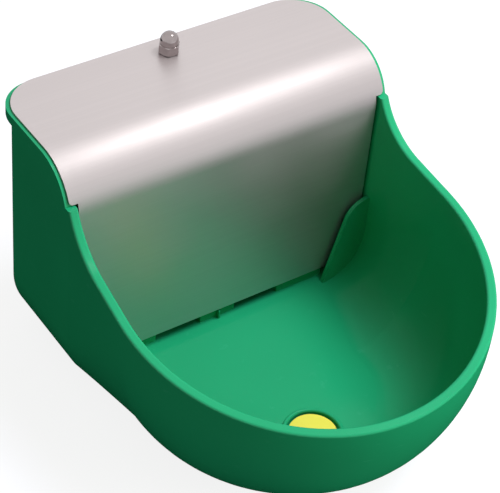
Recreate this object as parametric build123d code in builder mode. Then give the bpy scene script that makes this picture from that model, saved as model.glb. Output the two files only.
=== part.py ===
"""Livestock drinking bowl with a float valve under a stainless cover.

Millimetres. The wall that the bowl hangs on is the plane Y = 0, the bowl stands out towards -Y,
+X is to the right of someone facing the wall and +Z is up. The origin is the centre of the four
wall bolts, on the wall plane. Heights in the names below are measured from the bowl's underside.
"""
import os
from math import acos, asin, atan2, cos, degrees, hypot, radians, sin, sqrt, tan

from build123d import *

os.makedirs("parts", exist_ok=True)

# ---------------------------------------------------------------- driving dimensions
# wall fixing
BOLT_HEIGHT = 110.0          # centre of the bolt pattern above the underside
BOLT_SPACING_X = 150.0
BOLT_SPACING_Z = 80.0
BOLT_HOLE_R = 4.5            # for an M8 bolt or an 8 mm coach screw
BOLT_BOSS_R = 11.0

# bowl
HALF_WIDTH = 122.5           # beside the housing
FRONT_FLARE = 4.5            # radius of the round front beyond HALF_WIDTH
REACH = 303.0                # wall plane to the front of the rim
BACK_GAP = 20.0              # wall plane to the outer face of the back wall
WALL = 6.6
FLOOR = 6.6                  # thickness of the bottom
HOUSING_HEIGHT = 180.7       # top edges of the float housing
FRONT_RIM_HEIGHT = 99.3
RIM_SLOPE = 10.3             # degrees, fall of the rim towards the front
RIM_DROP = 62.0              # degrees, fall of the rim just below the notch
RIM_STRAIGHT = 1.65          # straight fall below the notch, before the two are blended
LEDGE_HEIGHT = 157.5         # notch where the wide part of the cover ends
LEDGE_BEYOND = 2.5           # front end of that notch from the front face of the plate
RIM_ROUND = 1.6              # rounding of the rim's edges
FRONT_CORNER_IN = 64.0       # outer rounding from wall to bottom at the front, inwards
FRONT_CORNER_UP = 97.0       # the same rounding, upwards
REAR_CORNER_OUT = 46.0       # outer rounding from wall to bottom beside the housing
REAR_CORNER_IN = 32.0        # the same inside
BACK_EDGE_R = 10.0           # outer rounding about the back wall
LIP_THICK = 6.7
LIP_DEPTH = 31.0             # from the wall plane, over the back wall
LIP_CORNER_R = 26.0

# cover
SHEET = 1.0
COVER_SIDE_IN = 2.5          # side edges from the outer faces of the walls
PLATE_SIDE_PLAY = 1.9        # plate to the inner faces of the walls
PLATE_FRONT = 98.0           # front face of the hanging plate from the wall plane
BEND_R = 33.0                # outer radius of the bend
COVER_SET_BACK = 0.5         # rear edge from the wall plane
COVER_CORNER_R = 28.0        # rear corners
COVER_SEAT = 0.3             # play between the cover and the edges under it
PLATE_GAP = 9.4              # floor to the lower edge of the plate
PLATE_CORNER_R = 22.0        # lower corners of the plate
PLATE_NOTCH_PLAY = 1.0       # wide part of the cover above the ledge
WIDE_CORNER_R = 3.0          # lower corners of the wide part

# fins and sills at the foot of the plate
FIN_THICK = 3.0
FIN_GAP = 3.0                # in front of the plate
FIN_HEIGHT = 67.0            # above the floor
FIN_FOOT_IN = 31.9           # inner edge at the floor, from the wall's inner face
FIN_LEAN = 14.8              # degrees, inner edge from upright
FIN_ROUND = 18.0             # upper inner corner
SILL_THICK = 4.0
SILL_HEIGHT = 14.0           # above the floor
SILL_PLAY = 2.0              # behind the plate
MID_SILL_HALF = 14.0
SIDE_SILL_FROM_WALL = 27.9
SIDE_SILL_LENGTH = 38.0
RIB_THICK = 1.2              # fine rib in front of the middle sill
RIB_REACH = 3.0
RIB_HEIGHT = 7.0

# cover stud
STUD_R = 4.0
STUD_Y = -16.0
STUD_ABOVE = 9.0             # length above the cover
STUD_PLAY = 0.2
STUD_CHAMFER = 0.7
COVER_HOLE_PLAY = 0.6
STUD_BOSS_R = 10.0
STUD_BOSS_DEPTH = 26.0
NUT_ACROSS = 13.0
NUT_HEX_HEIGHT = 6.5
NUT_TURN = 52.0              # degrees that the tightened nut stands turned
NUT_BEVEL = 30.0             # degrees, corners turned off its ends
DOME_NUT_HEIGHT = 15.0
DOME_R = 6.1
INSERT_HEIGHT = 6.5
THREAD_PLAY = 0.05

# drain
DRAIN_X = -4.0
DRAIN_FROM_FRONT = 86.0      # centre of the drain from the front of the rim
DRAIN_HOLE_R = 12.0
DRAIN_RECESS_R = 17.8
DRAIN_RECESS = 3.4
DRAIN_RING = 1.5             # radius of the rounded ring about the recess
PLUG_HEAD_R = 16.3
PLUG_HEAD = 2.6
PLUG_CROWN = 1.2
PLUG_PLAY = 0.05
PLUG_WALL = 3.3              # of its hollow stem
SEAL_THICK = 1.2
SEAL_IN_R = 12.7
SEAL_OUT_R = 15.8

# float valve
VALVE_Y = -60.0
VALVE_HEIGHT = 108.0
SHANK_R = 10.48              # G1/2 thread
SHANK_OUT = 26.0             # shank beyond the outer face of the wall
SHANK_PLAY = 0.32
SHANK_BORE_R = 7.5
RELIEF_R = 9.4               # run-out groove between the two threads of the shank
RELIEF_WIDTH = 2.0
FLANGE_R = 16.0
FLANGE_THICK = 4.0
GASKET_THICK = 1.5
GASKET_R = 15.5
WASHER_THICK = 2.0
WASHER_R = 17.0
LOCK_NUT_ACROSS = 30.0
LOCK_NUT_THICK = 8.0
BARREL_R = 11.0
BARREL_LENGTH = 36.0         # from the flange into the housing
SEAT_FROM_FLANGE = 8.0
SEAT_LENGTH = 6.0
SEAT_HOLE_R = 2.0
PISTON_R = 6.0
PISTON_PLAY = 0.05
PISTON_LENGTH = 32.0
PISTON_SEAL = 2.0
PISTON_SEAL_R = 5.0
PISTON_CHAMFER = 0.6
CLOSED_GAP = 0.3
PORT_LENGTH = 8.0
PORT_WIDTH = 9.0
STRAINER_R = 6.0             # inlet strainer in the shank
STRAINER_WALL = 1.0
STRAINER_RIM = 2.0           # length of its rim, at the shank's mouth
STRAINER_FROM_SEAT = 4.0
SLOT_LENGTH = 6.0
SLOT_WIDTH = 2.0
SLOT_PITCH = 9.0
SLOTS = 3                    # along the strainer

# float lever
PIVOT_DROP = 16.0            # pivot below the valve's axis
PIVOT_BEFORE = 12.0          # pivot from the barrel's open end, towards the float
PIN_R = 2.5
PIN_PLAY = 0.05
HUB_R = 6.0
HUB_HALF = 6.7
EAR_THICK = 3.0
EAR_R = 6.5
FINGER_TIP_R = 3.0
ARM_THICK = 6.0
ARM_WIDTH = 11.0
ARM_EYE_R = 9.0
CLIP_THICK = 1.0
CLIP_R = 5.0
CLIP_MOUTH = 3.5             # width of its opening
CLIP_MOUTH_DEPTH = 3.5
PIN_HEAD_R = 4.0

# float
FLOAT_X = -30.0              # centre of the float
FLOAT_LENGTH = 90.0
FLOAT_WIDTH = 50.0
FLOAT_HEIGHT = 34.0
FLOAT_BOTTOM = 38.0          # above the underside, with the bowl full
FLOAT_CORNER_R = 12.0
FLOAT_SKIN = 2.0
FLOAT_FOOT_R = 4.0           # rounding about its bottom
CAP_THICK = 4.0
CAP_LIP = 3.0
BOLT_R = 3.0                 # M6 adjusting bolt
BOLT_ABOVE = 1.0             # beyond the wing nut
BOLT_HEAD_R = 5.0
BOLT_HEAD = 4.0
HALF_NUT_ACROSS = 10.0
HALF_NUT_THICK = 4.0
WING_HUB_R = 5.5
WING_HUB_HEIGHT = 6.6
WING_HUB_TAPER = 8.0         # degrees
WING_CREST = 10.9            # highest point of a wing from the bolt's axis
WING_EDGE_HEIGHT = 7.7       # outer end of a wing
WING_ROOT_HEIGHT = 5.5
WING_SPAN = 26.0
WING_HEIGHT = 11.0
WING_THICK = 2.4

# ---------------------------------------------------------------- derived places
UNDERSIDE = -BOLT_HEIGHT


def up(height):
    """Z of a height above the underside."""
    return UNDERSIDE + height


INNER_HALF = HALF_WIDTH - WALL
FRONT_HALF = HALF_WIDTH + FRONT_FLARE        # radius of the round front
COVER_HALF = HALF_WIDTH - COVER_SIDE_IN
PLATE_HALF = INNER_HALF - PLATE_SIDE_PLAY
FIN_FOOT_X = INNER_HALF - FIN_FOOT_IN
SIDE_SILL_X = INNER_HALF - SIDE_SILL_FROM_WALL - SIDE_SILL_LENGTH / 2
ARC_Y = FRONT_HALF - REACH                   # centre line of the round front
BACK_OUT = -BACK_GAP
BACK_IN = BACK_OUT - WALL
FLOOR_Z = up(FLOOR)
TOP_Z = up(HOUSING_HEIGHT)
LEDGE_Z = up(LEDGE_HEIGHT)
LEDGE_Y = -PLATE_FRONT - LEDGE_BEYOND
FRONT_RIM_Z = up(FRONT_RIM_HEIGHT)
COVER_UNDER = TOP_Z + COVER_SEAT
COVER_TOP = COVER_UNDER + SHEET
BEND_Y = BEND_R - PLATE_FRONT                # centre of the bend
BEND_Z = COVER_TOP - BEND_R
EDGE_R = BEND_R - SHEET - COVER_SEAT         # housing edge under the bend
PLATE_FOOT = FLOOR_Z + PLATE_GAP
WIDE_FOOT = LEDGE_Z + PLATE_NOTCH_PLAY
FIN_Y = -PLATE_FRONT - FIN_GAP               # rear face of the fins
SILL_Y = SHEET + SILL_PLAY - PLATE_FRONT     # front face of the sills

# the steep and the gentle line of the rim meet here, before they are blended
RIM_FALL = tan(radians(RIM_SLOPE))
DROP_FALL = tan(radians(RIM_DROP))
RIM_K_Y = (FRONT_RIM_Z + RIM_FALL * REACH - LEDGE_Z + DROP_FALL * LEDGE_Y) / (DROP_FALL - RIM_FALL)
RIM_K_Z = FRONT_RIM_Z + RIM_FALL * (RIM_K_Y + REACH)
RIM_BLEND_R = ((hypot(LEDGE_Y - RIM_K_Y, LEDGE_Z - RIM_K_Z) - RIM_STRAIGHT)
               / tan(radians(RIM_DROP - RIM_SLOPE) / 2))

DRAIN_Y = DRAIN_FROM_FRONT - REACH
DRAIN_AXIS = Axis((DRAIN_X, DRAIN_Y, 0), (0, 0, 1))
CLOSE = 0.01                                 # two places nearer than this are the same

STUD_TOP = COVER_TOP + STUD_ABOVE
INSERT_Z = TOP_Z - LIP_THICK - STUD_BOSS_DEPTH      # foot of the stud boss and of its insert

VALVE_Z = up(VALVE_HEIGHT)
GASKET_X = INNER_HALF - GASKET_THICK
FLANGE_X = GASKET_X - FLANGE_THICK                  # inner face of the flange
BARREL_X = FLANGE_X - BARREL_LENGTH                 # open end of the barrel
SHANK_X = HALF_WIDTH + SHANK_OUT
SEAT_X = FLANGE_X - SEAT_FROM_FLANGE                # end of the seat that the piston closes
PISTON_NOSE_X = SEAT_X - CLOSED_GAP
PISTON_X = PISTON_NOSE_X - PISTON_SEAL - PISTON_LENGTH
PIVOT_X = BARREL_X - PIVOT_BEFORE
PIVOT_Z = VALVE_Z - PIVOT_DROP
FINGER_X = PISTON_X - CLOSED_GAP - FINGER_TIP_R

FLOAT_Y = VALVE_Y
FLOAT_BASE = up(FLOAT_BOTTOM)
FLOAT_TOP = FLOAT_BASE + FLOAT_HEIGHT
ARM_Z = PIVOT_Z
BOLT_HEAD_Z = FLOAT_TOP - CAP_THICK - BOLT_HEAD
BOLT_TOP = ARM_Z + ARM_THICK / 2 + WING_HEIGHT + BOLT_ABOVE


def half_u_section(half, inward, upward, foot, top):
    """Right half of the bowl's section: upright wall, elliptically rounded corner, flat bottom."""
    with BuildSketch() as drawing:
        with BuildLine():
            Polyline((0, top), (0, foot), (half - inward, foot))
            EllipticalCenterArc((half - inward, foot + upward), inward, upward, 270, arc_size=90)
            Polyline((half, foot + upward), (half, top), (0, top))
        make_face()
    return drawing.sketch


def basin_form(inset, corner, foot, top, rear_y):
    """Solid basin: housing part, sides that flare to the front, and the round front they run into."""
    half = HALF_WIDTH - inset
    front = FRONT_HALF - inset
    # the side is tangent to the round front in this direction from its axis
    towards = atan2(LEDGE_Y - ARC_Y, half) - acos(front / hypot(LEDGE_Y - ARC_Y, half))
    radial = Plane(origin=(0, ARC_Y, 0), x_dir=(cos(towards), sin(towards), 0),
                   z_dir=(sin(towards), -cos(towards), 0))
    front_section = half_u_section(front, FRONT_CORNER_IN - inset, FRONT_CORNER_UP - inset, foot, top)
    with BuildPart() as form:
        with BuildSketch(Plane.XZ.offset(-rear_y)):
            add(half_u_section(half, corner, corner, foot, top))
        extrude(amount=rear_y - LEDGE_Y)
        with BuildSketch(Plane.XZ.offset(-LEDGE_Y)):
            add(half_u_section(half, corner, corner, foot, top))
        with BuildSketch(radial):
            add(front_section)
        loft(ruled=True)
        mirror(about=Plane.YZ)
        with BuildSketch(radial):
            add(front_section)
        revolve(axis=Axis((0, ARC_Y, 0), (0, 0, -1)), revolution_arc=180 + 2 * degrees(towards))
    return form.part


def rim_outline():
    """Side view of the bowl below its top edges, from the wall plane to the front."""
    bend_drop = sqrt(EDGE_R**2 - (LEDGE_Z - BEND_Z) ** 2)
    low = UNDERSIDE - WALL
    far = -REACH - WALL
    with BuildSketch() as drawing:
        with BuildLine():
            Polyline((BEND_Y, TOP_Z), (WALL, TOP_Z), (WALL, low), (far, low),
                     (far, FRONT_RIM_Z - RIM_FALL * WALL))
            FilletPolyline((far, FRONT_RIM_Z - RIM_FALL * WALL), (RIM_K_Y, RIM_K_Z),
                           (LEDGE_Y, LEDGE_Z), radius=RIM_BLEND_R)
            Line((LEDGE_Y, LEDGE_Z), (BEND_Y - bend_drop, LEDGE_Z))
            ThreePointArc(
                (BEND_Y - bend_drop, LEDGE_Z),
                (BEND_Y - EDGE_R * sqrt(0.5), BEND_Z + EDGE_R * sqrt(0.5)),
                (BEND_Y, TOP_Z))
        make_face()
    return drawing.sketch


def on_rim(edge):
    """True for the long edges of the open rim, in front of the notch."""
    places = (edge @ 0, edge @ 0.5, edge @ 1)
    high_enough = all(place.Z > FRONT_RIM_Z - CLOSE for place in places)
    return high_enough and places[1].Y < LEDGE_Y - CLOSE and edge.length > 2 * WALL


def fin_outline(side):
    """Front view of a fin: level at the top, rounded over, then leaning down to the floor."""
    top = FLOOR_Z + FIN_HEIGHT
    low = FLOOR_Z - FLOOR / 2
    outer = INNER_HALF + WALL / 2
    upper_x = FIN_FOOT_X + FIN_HEIGHT * tan(radians(FIN_LEAN))
    with BuildSketch() as drawing:
        with BuildLine():
            FilletPolyline((side * outer, top), (side * upper_x, top), (side * FIN_FOOT_X, FLOOR_Z),
                           radius=FIN_ROUND)
            Polyline((side * FIN_FOOT_X, FLOOR_Z), (side * FIN_FOOT_X, low), (side * outer, low),
                     (side * outer, top))
        make_face()
    return drawing.sketch


# ---------------------------------------------------------------- bowl
outer_form = basin_form(0, REAR_CORNER_OUT, UNDERSIDE, TOP_Z + WALL, BACK_OUT)
cavity = basin_form(WALL, REAR_CORNER_IN, FLOOR_Z, TOP_Z + 2 * WALL, BACK_IN)

with BuildPart() as inner_walls:
    # fins in the rounded corners, in front of the plate
    for side in (-1, 1):
        with BuildSketch(Plane.XZ.offset(-FIN_Y)):
            add(fin_outline(side))
        extrude(amount=FIN_THICK)

    # sills behind the foot of the plate, with a water passage on each side of the middle one
    with BuildSketch(Plane.XY.offset(FLOOR_Z - FLOOR / 2)):
        with Locations((0, SILL_Y + SILL_THICK / 2)):
            Rectangle(2 * MID_SILL_HALF, SILL_THICK)
        for side in (-1, 1):
            with Locations((side * SIDE_SILL_X, SILL_Y + SILL_THICK / 2)):
                Rectangle(SIDE_SILL_LENGTH, SILL_THICK)
    extrude(amount=SILL_HEIGHT + FLOOR / 2)
    with BuildSketch(Plane.XY.offset(FLOOR_Z - FLOOR / 2)):
        with Locations((0, SILL_Y - RIB_REACH / 2 + SILL_THICK / 4)):
            Rectangle(RIB_THICK, RIB_REACH + SILL_THICK / 2)
    extrude(amount=RIB_HEIGHT + FLOOR / 2)
    add(outer_form, mode=Mode.INTERSECT)

with BuildPart() as bowl:
    add(outer_form)
    back_edges = bowl.edges().filter_by(lambda e: abs((e @ 0).Y - BACK_OUT) < CLOSE
                                        and abs((e @ 1).Y - BACK_OUT) < CLOSE)
    fillet(back_edges.filter_by(lambda e: (e @ 0.5).Z < TOP_Z), BACK_EDGE_R)
    with BuildSketch(Plane.YZ.offset(-HALF_WIDTH - WALL)):
        add(rim_outline())
    extrude(amount=2 * (HALF_WIDTH + WALL), mode=Mode.INTERSECT)
    add(cavity, mode=Mode.SUBTRACT)
    # the rim's edges are rounded
    fillet(bowl.edges().filter_by(on_rim), RIM_ROUND)

    # lip along the top of the back wall, out to the wall plane
    with BuildSketch(Plane.XY.offset(TOP_Z - LIP_THICK)) as lip_plan:
        with Locations((0, -LIP_DEPTH / 2)):
            Rectangle(2 * HALF_WIDTH, LIP_DEPTH)
        fillet(lip_plan.vertices().group_by(Axis.Y)[-1], LIP_CORNER_R)
    extrude(amount=LIP_THICK)

    # boss under the lip for the cover stud, with its insert pocket open below
    with BuildSketch(Plane.XY.offset(INSERT_Z)):
        with Locations((0, STUD_Y)):
            Circle(STUD_BOSS_R)
    extrude(amount=STUD_BOSS_DEPTH)
    with BuildSketch(Plane.XY.offset(INSERT_Z)):
        with Locations((0, STUD_Y)):
            RegularPolygon(NUT_ACROSS / 2, 6, major_radius=False)
    extrude(amount=INSERT_HEIGHT, mode=Mode.SUBTRACT)
    with BuildSketch(Plane.XY.offset(TOP_Z)):
        with Locations((0, STUD_Y)):
            Circle(STUD_R + STUD_PLAY)
    extrude(amount=-(STUD_BOSS_DEPTH + LIP_THICK), mode=Mode.SUBTRACT)

    # four wall bosses and their bolt holes
    with BuildSketch(Plane.XZ.offset(-BACK_OUT)):
        with GridLocations(BOLT_SPACING_X, BOLT_SPACING_Z, 2, 2):
            Circle(BOLT_BOSS_R)
    extrude(amount=-BACK_GAP)
    with BuildSketch(Plane.XZ):
        with GridLocations(BOLT_SPACING_X, BOLT_SPACING_Z, 2, 2):
            Circle(BOLT_HOLE_R)
    extrude(amount=BACK_GAP + WALL, mode=Mode.SUBTRACT)

    add(inner_walls.part)

    # drain: rounded ring, recess and hole
    with BuildSketch(Plane.YZ.offset(DRAIN_X)):
        with Locations((DRAIN_Y + DRAIN_RECESS_R + DRAIN_RING, FLOOR_Z)):
            Circle(DRAIN_RING)
    revolve(axis=DRAIN_AXIS)
    with BuildSketch(Plane.XY.offset(FLOOR_Z + DRAIN_RING)):
        with Locations((DRAIN_X, DRAIN_Y)):
            Circle(DRAIN_RECESS_R)
    extrude(amount=-DRAIN_RECESS - DRAIN_RING, mode=Mode.SUBTRACT)
    with BuildSketch(Plane.XY.offset(FLOOR_Z)):
        with Locations((DRAIN_X, DRAIN_Y)):
            Circle(DRAIN_HOLE_R)
    extrude(amount=-FLOOR, mode=Mode.SUBTRACT)

    # hole for the valve's shank in the right-hand wall
    with BuildSketch(Plane.YZ.offset(INNER_HALF)):
        with Locations((VALVE_Y, VALVE_Z)):
            Circle(SHANK_R + SHANK_PLAY)
    extrude(amount=WALL, mode=Mode.SUBTRACT)
bowl.part.label = "bowl"
export_step(bowl.part, "parts/bowl.step")

# ---------------------------------------------------------------- cover
with BuildPart() as cover:
    # side view of the bent sheet
    with BuildSketch(Plane.YZ.offset(-COVER_HALF)):
        with BuildLine():
            Polyline((-PLATE_FRONT, BEND_Z), (-PLATE_FRONT, PLATE_FOOT),
                     (SHEET - PLATE_FRONT, PLATE_FOOT), (SHEET - PLATE_FRONT, BEND_Z))
            CenterArc((BEND_Y, BEND_Z), BEND_R - SHEET, 90, 90)
            Polyline((BEND_Y, COVER_UNDER), (-COVER_SET_BACK, COVER_UNDER),
                     (-COVER_SET_BACK, COVER_TOP), (BEND_Y, COVER_TOP))
            CenterArc((BEND_Y, BEND_Z), BEND_R, 90, 90)
        make_face()
    extrude(amount=2 * COVER_HALF)
    # front view: wide over the walls, narrow between them
    with BuildSketch(Plane.XZ.offset(-WALL)) as front_view:
        with Locations((0, (COVER_TOP + WIDE_FOOT) / 2)):
            Rectangle(2 * COVER_HALF, COVER_TOP - WIDE_FOOT)
        fillet(front_view.vertices().group_by(Axis.Y)[0], WIDE_CORNER_R)
        with BuildSketch(mode=Mode.PRIVATE) as plate_view:
            with Locations((0, (COVER_TOP + PLATE_FOOT) / 2)):
                Rectangle(2 * PLATE_HALF, COVER_TOP - PLATE_FOOT)
            fillet(plate_view.vertices().group_by(Axis.Y)[0], PLATE_CORNER_R)
        add(plate_view.sketch)
    extrude(amount=PLATE_FRONT + 2 * WALL, mode=Mode.INTERSECT)
    # plan view: rounded rear corners and the hole for the stud
    rear_corners = cover.edges().filter_by(Axis.Z).filter_by(lambda e: (e @ 0.5).Y > -COVER_SET_BACK - CLOSE)
    fillet(rear_corners, COVER_CORNER_R)
    with BuildSketch(Plane.XY.offset(COVER_TOP)):
        with Locations((0, STUD_Y)):
            Circle(STUD_R + COVER_HOLE_PLAY)
    extrude(amount=-SHEET, mode=Mode.SUBTRACT)
cover.part.label = "cover"
export_step(cover.part, "parts/cover.step")

# ---------------------------------------------------------------- cover fixing
with BuildPart() as cover_stud:
    with BuildSketch(Plane.XY.offset(INSERT_Z)):
        with Locations((0, STUD_Y)):
            Circle(STUD_R)
    extrude(amount=STUD_TOP - INSERT_Z)
    chamfer(cover_stud.edges().sort_by(Axis.Z)[-1], STUD_CHAMFER)
cover_stud.part.label = "cover_stud"
export_step(cover_stud.part, "parts/cover_stud.step")

with BuildPart() as stud_insert:
    with BuildSketch(Plane.XY.offset(INSERT_Z)):
        with Locations((0, STUD_Y)):
            RegularPolygon(NUT_ACROSS / 2, 6, major_radius=False)
            Circle(STUD_R, mode=Mode.SUBTRACT)
    extrude(amount=INSERT_HEIGHT)
stud_insert.part.label = "stud_insert"
export_step(stud_insert.part, "parts/stud_insert.step")

NUT_Z = COVER_TOP + CLOSED_GAP
with BuildPart() as dome_nut:
    with BuildSketch(Plane.XY.offset(NUT_Z)):
        with Locations((0, STUD_Y)):
            RegularPolygon(NUT_ACROSS / 2, 6, major_radius=False, rotation=NUT_TURN)
    extrude(amount=NUT_HEX_HEIGHT)
    # the hexagon's corners are turned off at both ends
    nut_corner = NUT_ACROSS / sqrt(3)
    bevel = (nut_corner - NUT_ACROSS / 2) * tan(radians(NUT_BEVEL))
    with BuildSketch(Plane.YZ):
        with BuildLine():
            Polyline((STUD_Y, NUT_Z), (STUD_Y + NUT_ACROSS / 2, NUT_Z),
                     (STUD_Y + nut_corner, NUT_Z + bevel),
                     (STUD_Y + nut_corner, NUT_Z + NUT_HEX_HEIGHT - bevel),
                     (STUD_Y + NUT_ACROSS / 2, NUT_Z + NUT_HEX_HEIGHT), (STUD_Y, NUT_Z + NUT_HEX_HEIGHT),
                     (STUD_Y, NUT_Z))
        make_face()
    revolve(axis=Axis((0, STUD_Y, 0), (0, 0, 1)), mode=Mode.INTERSECT)
    # dome on a short neck
    with BuildSketch(Plane.YZ):
        with BuildLine():
            Polyline((STUD_Y, NUT_Z + NUT_HEX_HEIGHT / 2),
                     (STUD_Y + DOME_R, NUT_Z + NUT_HEX_HEIGHT / 2),
                     (STUD_Y + DOME_R, NUT_Z + DOME_NUT_HEIGHT - DOME_R))
            CenterArc((STUD_Y, NUT_Z + DOME_NUT_HEIGHT - DOME_R), DOME_R, 0, 90)
            Line((STUD_Y, NUT_Z + DOME_NUT_HEIGHT), (STUD_Y, NUT_Z + NUT_HEX_HEIGHT / 2))
        make_face()
    revolve(axis=Axis((0, STUD_Y, 0), (0, 0, 1)))
    with BuildSketch(Plane.XY.offset(NUT_Z)):
        with Locations((0, STUD_Y)):
            Circle(STUD_R + THREAD_PLAY)
    extrude(amount=STUD_ABOVE + CLOSED_GAP, mode=Mode.SUBTRACT)
dome_nut.part.label = "dome_nut"
export_step(dome_nut.part, "parts/dome_nut.step")

# ---------------------------------------------------------------- drain plug
SEAL_Z = FLOOR_Z - DRAIN_RECESS + CLOSED_GAP
HEAD_Z = SEAL_Z + SEAL_THICK
crown_r = (PLUG_HEAD_R**2 + PLUG_CROWN**2) / (2 * PLUG_CROWN)
crown_z = HEAD_Z + PLUG_HEAD - crown_r
crown_half = asin(PLUG_HEAD_R / crown_r) / 2
with BuildPart() as drain_plug:
    # half section turned about the drain's axis: crowned head and hollow stem
    with BuildSketch(Plane.YZ.offset(DRAIN_X)):
        with BuildLine():
            stem_r = DRAIN_HOLE_R - PLUG_PLAY
            stem_foot = UNDERSIDE + CLOSED_GAP
            Polyline((DRAIN_Y, HEAD_Z), (DRAIN_Y + stem_r - PLUG_WALL, HEAD_Z),
                     (DRAIN_Y + stem_r - PLUG_WALL, stem_foot), (DRAIN_Y + stem_r, stem_foot),
                     (DRAIN_Y + stem_r, HEAD_Z), (DRAIN_Y + PLUG_HEAD_R, HEAD_Z),
                     (DRAIN_Y + PLUG_HEAD_R, HEAD_Z + PLUG_HEAD - PLUG_CROWN))
            ThreePointArc((DRAIN_Y + PLUG_HEAD_R, HEAD_Z + PLUG_HEAD - PLUG_CROWN),
                          (DRAIN_Y + crown_r * sin(crown_half), crown_z + crown_r * cos(crown_half)),
                          (DRAIN_Y, HEAD_Z + PLUG_HEAD))
            Line((DRAIN_Y, HEAD_Z + PLUG_HEAD), (DRAIN_Y, HEAD_Z))
        make_face()
    revolve(axis=DRAIN_AXIS)
drain_plug.part.label = "drain_plug"
export_step(drain_plug.part, "parts/drain_plug.step")

with BuildPart() as drain_seal:
    with BuildSketch(Plane.XY.offset(SEAL_Z)):
        with Locations((DRAIN_X, DRAIN_Y)):
            Circle(SEAL_OUT_R)
            Circle(SEAL_IN_R, mode=Mode.SUBTRACT)
    extrude(amount=SEAL_THICK)
drain_seal.part.label = "drain_seal"
export_step(drain_seal.part, "parts/drain_seal.step")


# ---------------------------------------------------------------- float valve
def turned(from_x, to_x, outer, inner=0.0):
    """Cylinder or tube along the valve's axis."""
    with BuildPart() as piece:
        with BuildSketch(Plane.YZ.offset(from_x)):
            with Locations((VALVE_Y, VALVE_Z)):
                Circle(outer)
                if inner:
                    Circle(inner, mode=Mode.SUBTRACT)
        extrude(amount=to_x - from_x)
    return piece.part


with BuildPart() as valve_body:
    add(turned(FLANGE_X, SHANK_X, SHANK_R))
    add(turned(FLANGE_X, GASKET_X, FLANGE_R))
    add(turned(BARREL_X, FLANGE_X, BARREL_R))
    relief_x = HALF_WIDTH + WASHER_THICK + LOCK_NUT_THICK
    add(turned(relief_x, relief_x + RELIEF_WIDTH, SHANK_R + SHANK_PLAY, RELIEF_R), mode=Mode.SUBTRACT)
    # two ears carry the pivot pin
    for side in (-1, 1):
        ear_y = VALVE_Y + side * (HUB_HALF + CLOSED_GAP + EAR_THICK / 2)
        with BuildSketch(Plane.XZ.offset(-ear_y - EAR_THICK / 2)):
            with BuildLine():
                Polyline((BARREL_X, VALVE_Z), (BARREL_X, PIVOT_Z + EAR_R), (PIVOT_X, PIVOT_Z + EAR_R))
                CenterArc((PIVOT_X, PIVOT_Z), EAR_R, 90, 180)
                Polyline((PIVOT_X, PIVOT_Z - EAR_R), (BARREL_X + BARREL_R, VALVE_Z - BARREL_R / 2),
                         (BARREL_X + BARREL_R, VALVE_Z), (BARREL_X, VALVE_Z))
            make_face()
        extrude(amount=EAR_THICK)
    # bore of the shank, then of the piston, and the water port below
    add(turned(SEAT_X, SHANK_X, SHANK_BORE_R), mode=Mode.SUBTRACT)
    add(turned(BARREL_X, SEAT_X, PISTON_R + PISTON_PLAY), mode=Mode.SUBTRACT)
    with BuildSketch(Plane.XY.offset(VALVE_Z)):
        with Locations((SEAT_X - PORT_LENGTH / 2, VALVE_Y)):
            Rectangle(PORT_LENGTH, PORT_WIDTH)
    extrude(amount=-BARREL_R, mode=Mode.SUBTRACT)
    with BuildSketch(Plane.XZ.offset(-VALVE_Y - FLANGE_R)):
        with Locations((PIVOT_X, PIVOT_Z)):
            Circle(PIN_R)
    extrude(amount=2 * FLANGE_R, mode=Mode.SUBTRACT)
valve_body.part.label = "valve_body"
export_step(valve_body.part, "parts/valve_body.step")

valve_seat = turned(SEAT_X, SEAT_X + SEAT_LENGTH, SHANK_BORE_R, SEAT_HOLE_R)
valve_seat.label = "valve_seat"
export_step(valve_seat, "parts/valve_seat.step")

with BuildPart() as inlet_filter:
    foot_x = SEAT_X + SEAT_LENGTH + STRAINER_FROM_SEAT
    rim_x = SHANK_X - STRAINER_RIM
    add(turned(rim_x, SHANK_X, SHANK_BORE_R, STRAINER_R - STRAINER_WALL))
    add(turned(foot_x, rim_x, STRAINER_R, STRAINER_R - STRAINER_WALL))
    add(turned(foot_x, foot_x + STRAINER_WALL, STRAINER_R))
    # slots through both sides of the wall, in three directions
    for angle in (0, 60, 120):
        slot_plane = Plane(origin=((foot_x + rim_x) / 2, VALVE_Y, VALVE_Z), x_dir=(1, 0, 0),
                           z_dir=(0, sin(radians(angle)), cos(radians(angle))))
        with BuildSketch(slot_plane):
            with GridLocations(SLOT_PITCH, 0, SLOTS, 1):
                Rectangle(SLOT_LENGTH, SLOT_WIDTH)
        extrude(amount=STRAINER_R, both=True, mode=Mode.SUBTRACT)
inlet_filter.part.label = "inlet_filter"
export_step(inlet_filter.part, "parts/inlet_filter.step")

inlet_gasket = turned(GASKET_X, INNER_HALF, GASKET_R, SHANK_R)
inlet_gasket.label = "inlet_gasket"
export_step(inlet_gasket, "parts/inlet_gasket.step")

inlet_washer = turned(HALF_WIDTH, HALF_WIDTH + WASHER_THICK, WASHER_R, SHANK_R)
inlet_washer.label = "inlet_washer"
export_step(inlet_washer, "parts/inlet_washer.step")

with BuildPart() as lock_nut:
    with BuildSketch(Plane.YZ.offset(HALF_WIDTH + WASHER_THICK)):
        with Locations((VALVE_Y, VALVE_Z)):
            RegularPolygon(LOCK_NUT_ACROSS / 2, 6, major_radius=False)
            Circle(SHANK_R, mode=Mode.SUBTRACT)
    extrude(amount=LOCK_NUT_THICK)
lock_nut.part.label = "lock_nut"
export_step(lock_nut.part, "parts/lock_nut.step")

with BuildPart() as valve_piston:
    add(turned(PISTON_X, PISTON_NOSE_X - PISTON_SEAL, PISTON_R))
    chamfer(valve_piston.edges().filter_by(GeomType.CIRCLE), PISTON_CHAMFER)
valve_piston.part.label = "valve_piston"
export_step(valve_piston.part, "parts/valve_piston.step")

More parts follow.
